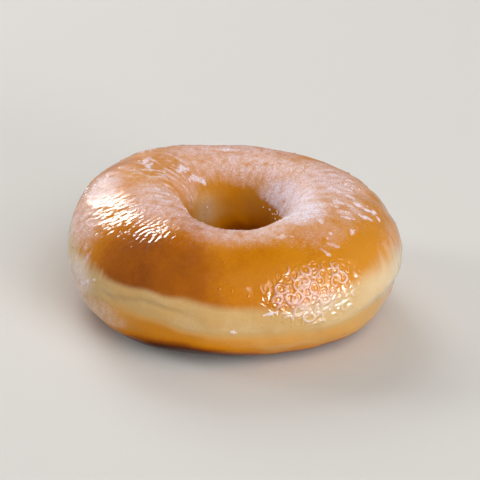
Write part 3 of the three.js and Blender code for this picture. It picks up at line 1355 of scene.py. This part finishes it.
@dataclass(frozen=True)
class Strewn:
    """Small things strewn over the glaze, as many as one of its attributes says."""

    name: str
    grain: Grain
    where: str  # attribute of the coat, which says how thickly they lie
    per_cm2: float  # where that attribute is 1
    smallest: float  # mm
    largest: float
    seed: int
    flatness: float = 1.0  # height as a share of the width

    def build(self, coat: bpy.types.Object, material: bpy.types.Material) -> bpy.types.Object:
        """Strews the things over the coat as one plain mesh.

        Args:
            coat: the glaze.
            material: what the things are made of.

        Returns:
            The new object, at the origin.
        """
        sizes = {
            "Most per square metre": self.per_cm2 * 1e4,
            "Smallest": self.smallest * MM,
            "Largest": self.largest * MM,
            "Flatness": self.flatness,
        }
        tree = self._tree(tuple(sizes), material)
        piece = add_object(self.name, coat.data)
        modifier = piece.modifiers.new("strew", "NODES")
        modifier.node_group = tree
        for item in tree.interface.items_tree:
            if item.name in sizes:
                modifier[item.identifier] = sizes[item.name]
        depsgraph = bpy.context.evaluated_depsgraph_get()
        mesh = bpy.data.meshes.new_from_object(
            piece.evaluated_get(depsgraph), preserve_all_data_layers=True, depsgraph=depsgraph
        )
        piece.modifiers.remove(modifier)
        piece.data = mesh
        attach(piece, BODY)
        return piece

    def _tree(self, inputs: tuple[str, ...], material: bpy.types.Material) -> bpy.types.NodeTree:
        """Builds the node tree that strews the things.

        Args:
            inputs: the names of its inputs.
            material: what the things are made of.

        Returns:
            The tree.
        """
        tree = bpy.data.node_groups.new(self.name, "GeometryNodeTree")
        tree.interface.new_socket("Geometry", in_out="OUTPUT", socket_type="NodeSocketGeometry")
        tree.interface.new_socket("Geometry", in_out="INPUT", socket_type="NodeSocketGeometry")
        for name in inputs:
            tree.interface.new_socket(name, in_out="INPUT", socket_type="NodeSocketFloat")
        given = add_node(tree, "NodeGroupInput").outputs
        named = add_node(tree, "GeometryNodeInputNamedAttribute", {"Name": self.where}, data_type="FLOAT")
        dense = {0: named.outputs["Attribute"], 1: given["Most per square metre"]}
        density = add_node(tree, "ShaderNodeMath", dense, operation="MULTIPLY").outputs["Value"]
        strewing = {"Mesh": given["Geometry"], "Density": density, "Seed": self.seed}
        spots = add_node(tree, "GeometryNodeDistributePointsOnFaces", strewing)
        # A random number multiplied by itself gives many small ones and few large ones
        drawn = add_node(tree, "FunctionNodeRandomValue", {"Seed": self.seed + 1}, data_type="FLOAT")
        chance = drawn.outputs[1]
        squared = add_node(tree, "ShaderNodeMath", {0: chance, 1: chance}, operation="MULTIPLY")
        ends = {"To Min": given["Smallest"], "To Max": given["Largest"]}
        sized = add_node(tree, "ShaderNodeMapRange", {"Value": squared.outputs["Value"], **ends})
        size = sized.outputs["Result"]
        tall = add_node(tree, "ShaderNodeMath", {0: size, 1: given["Flatness"]}, operation="MULTIPLY")
        scale = add_node(tree, "ShaderNodeCombineXYZ", {"X": size, "Y": size, "Z": tall.outputs["Value"]})
        ball = {"Radius": 0.5, "Subdivisions": self.grain.value}
        shape = add_node(tree, "GeometryNodeMeshIcoSphere", ball)
        rotation = spots.outputs["Rotation"]
        if self.grain is Grain.CRYSTAL:
            turns = {0: (0.0, 0.0, 0.0), 1: (math.tau, math.tau, math.tau), "Seed": self.seed + 2}
            rotation = add_node(tree, "FunctionNodeRandomValue", turns, data_type="FLOAT_VECTOR").outputs[0]
        placing = {
            "Points": spots.outputs["Points"],
            "Instance": shape.outputs["Mesh"],
            "Rotation": rotation,
            "Scale": scale.outputs["Vector"],
        }
        strewn = add_node(tree, "GeometryNodeInstanceOnPoints", placing)
        real = add_node(tree, "GeometryNodeRealizeInstances", {"Geometry": strewn.outputs["Instances"]})
        rounded = {"Geometry": real.outputs["Geometry"], "Shade Smooth": self.grain is Grain.BUBBLE}
        shaded = add_node(tree, "GeometryNodeSetShadeSmooth", rounded)
        dressing = {"Geometry": shaded.outputs["Geometry"], "Material": material}
        dressed = add_node(tree, "GeometryNodeSetMaterial", dressing)
        add_node(tree, "NodeGroupOutput", {"Geometry": dressed.outputs["Geometry"]})
        return tree


# Studio

@dataclass(frozen=True)
class Softbox:
    """A large soft lamp that faces the doughnut. Its directions are seen from the doughnut."""

    name: str
    azimuth: float  # degrees, with 0 at the right of the photo and 270 at the camera
    elevation: float
    distance: float  # metres
    width: float
    height: float
    brightness: float  # radiance: 1 shows as white
    mirrored: bool = True  # whether the glaze mirrors it
    lights: bool = True  # whether it lights matt things

    def build(self) -> None:
        """Makes the lamp."""
        lamp = bpy.data.lights.new(self.name, "AREA")
        lamp.shape = "RECTANGLE"
        lamp.size, lamp.size_y = self.width, self.height
        lamp.energy = self.brightness * math.pi * self.width * self.height
        a, e = math.radians(self.azimuth), math.radians(self.elevation)
        back = Vector((math.cos(a) * math.cos(e), math.sin(a) * math.cos(e), math.sin(e)))
        thing = add_object(self.name, lamp)
        thing.location = back * self.distance + Vector((0, 0, MIDDLE_HEIGHT * MM))
        thing.rotation_euler = back.to_track_quat("Z", "Y").to_euler()
        thing.visible_glossy = self.mirrored
        thing.visible_diffuse = self.lights


@dataclass(frozen=True)
class Studio:
    """A plain pale floor, soft lamps and a camera where the photo was taken."""

    floor_width: float = 6.0  # metres
    floor_colour: str = "#D8D5D0"
    floor_roughness: float = 0.9
    floor_shine: float = 0.1
    room_light: float = 0.19  # radiance of the room
    floor_glow: float = 0.5  # and of its low part behind the doughnut, which the glaze mirrors edge-on
    glow_behind: tuple[float, float] = (0.35, 0.75)  # how far back a direction points where this sets in
    glow_low: tuple[float, float] = (0.1, -0.1)  # and how far up
    softboxes: tuple[Softbox, ...] = (
        Softbox("key_softbox", 118, 38, 2.2, 0.90, 1.40, 3.4, False),
        Softbox("front_softbox", 314, 8, 2.0, 0.80, 0.60, 14.5, False),
        Softbox("shoulder_glint", 116, 27, 2.2, 1.15, 1.15, 18.0, True, False),
        Softbox("blister_glint", 314, 4, 2.0, 0.90, 0.60, 26.0, True, False),
        Softbox("blister_sheen", 315, 20, 2.1, 1.4, 1.7, 4.0, True, False),
        Softbox("back_softbox", 122, 45, 2.5, 2.4, 1.5, 1.1, False),
        Softbox("left_softbox", 172, 18, 2.2, 0.60, 0.80, 12.0, False),
        Softbox("fill_softbox", 312, 48, 2.5, 2.2, 2.0, 2.6, False),
    )
    photo_width: int = 480  # pixels
    target: tuple[float, float, float] = (*AXIS, MIDDLE_HEIGHT)
    target_pixel: tuple[float, float] = (236.23, 241.62)  # where the photo shows it
    distance: float = 450.0  # mm
    elevation: float = 27.0  # degrees
    roll: float = 3.415
    focal_pixels: float = 1541.4  # focal length in the photo's pixels
    sensor: float = 36.0  # mm
    clip: tuple[float, float] = (0.01, 50.0)  # metres from the lens

    def build(self) -> None:
        """Makes the floor, the lamps, the dim room and the camera."""
        self._floor()
        for softbox in self.softboxes:
            softbox.build()
        self._room()
        bpy.context.scene.view_settings.view_transform = "Standard"
        self._camera()

    def _room(self) -> None:
        """Makes the dim room. It is brighter low down behind the doughnut, where its pale floor runs back."""
        world = bpy.data.worlds.new("dim_room")
        world.use_nodes = True
        tree = world.node_tree
        direction = add_node(tree, "ShaderNodeTexCoord").outputs["Generated"]
        axes = add_node(tree, "ShaderNodeSeparateXYZ", {"Vector": direction}).outputs
        shares = []
        for axis, (low, high) in (("Y", self.glow_behind), ("Z", self.glow_low)):
            ends = {"From Min": low, "From Max": high}
            share = add_node(tree, "ShaderNodeMapRange", {"Value": axes[axis], **ends})
            shares.append(share.outputs["Result"])
        both = add_node(tree, "ShaderNodeMath", dict(enumerate(shares)), operation="MULTIPLY")
        ends = {"To Min": self.room_light, "To Max": self.floor_glow}
        glow = add_node(tree, "ShaderNodeMapRange", {"Value": both.outputs["Value"], **ends})
        strength = glow.outputs["Result"]
        set_inputs(tree.nodes["Background"], {"Color": linear("#FFFFFF"), "Strength": strength})
        bpy.context.scene.world = world

    def _floor(self) -> None:
        """Makes the pale floor."""
        mesh = bpy.data.meshes.new("studio_floor")
        half = self.floor_width / 2
        corners = [(-half, -half, 0), (half, -half, 0), (half, half, 0), (-half, half, 0)]
        mesh.from_pydata(corners, [], [(0, 1, 2, 3)])
        floor = add_object("studio_floor", mesh)
        paper, shader = start_material("matt_background_paper")
        finish = {
            "Base Color": linear(self.floor_colour),
            "Roughness": self.floor_roughness,
            "Specular IOR Level": self.floor_shine,
        }
        set_inputs(shader, finish)
        mesh.materials.append(paper)
        # The glaze doesn't mirror the pale floor, which would wash out its colour
        floor.visible_glossy = False

    def _camera(self) -> None:
        """Makes the camera, turned and placed as the doughnut's outline in the photo says."""
        e, r = math.radians(self.elevation), math.radians(self.roll)
        ahead = Vector((0, math.cos(e), -math.sin(e)))
        up = Vector((0, math.sin(e), math.cos(e)))
        right = Vector((1, 0, 0))
        side = right * math.cos(r) + up * math.sin(r)
        head = up * math.cos(r) - right * math.sin(r)
        lens = bpy.data.cameras.new("photo_camera")
        lens.sensor_width = self.sensor
        lens.lens = self.focal_pixels / self.photo_width * self.sensor
        lens.shift_x = (self.photo_width / 2 - self.target_pixel[0]) / self.photo_width
        lens.shift_y = (self.target_pixel[1] - self.photo_width / 2) / self.photo_width
        lens.clip_start, lens.clip_end = self.clip
        camera = add_object("photo_camera", lens)
        place = (Vector(self.target) - ahead * self.distance) * MM
        camera.matrix_world = Matrix.Translation(place) @ Matrix((side, head, -ahead)).transposed().to_4x4()
        bpy.context.scene.camera = camera


def report(piece: bpy.types.Object) -> None:
    """Logs a piece's size and how many triangles it has.

    Args:
        piece: the finished piece.
    """
    triangles = sum(len(p.vertices) - 2 for p in piece.data.polygons)
    size = [round(d / MM, 1) for d in piece.dimensions]
    log.info("%s: %s mm, %d triangles", piece.name, size, triangles)


def main() -> None:
    """Builds the pieces in order and reports each one."""
    logging.basicConfig(level=logging.INFO, format="%(name)s: %(message)s")
    form = RingForm()
    unevenness, frying, drying = Unevenness(), Frying(), Drying()
    insets = (
        Inset("blistered_glaze", around=(274, 330), turn=(-12, 60), columns=300, rows=150),
        Inset("rippled_glaze", around=(168, 254), turn=(14, 96), columns=320, rows=130),
    )
    coat = GlazeCoat(form, unevenness, frying, drying, insets=insets)
    report(DoughRing(form, unevenness, frying, coat).build())
    glaze = coat.build()
    report(glaze)
    film = glaze.data.materials[0]
    for inset in insets:
        report(inset.build(coat, film))
    sugar = DriedSugar().build()
    crystals = Strewn(
        "sugar_crystals", Grain.CRYSTAL, "grains", per_cm2=150, smallest=0.18, largest=0.46, seed=71
    )
    bubbles = Strewn(
        "glaze_bubbles", Grain.BUBBLE, "bubbles", per_cm2=1.8, smallest=0.35, largest=0.9, seed=72,
        flatness=0.5,
    )
    beads = Strewn(
        "sugar_beads", Grain.BUBBLE, "beads", per_cm2=16, smallest=0.4, largest=1.0, seed=73, flatness=0.8
    )
    for strewn, material in ((crystals, sugar), (bubbles, film), (beads, sugar)):
        report(strewn.build(glaze, material))
    Studio().build()


if __name__ == "__main__":
    main()
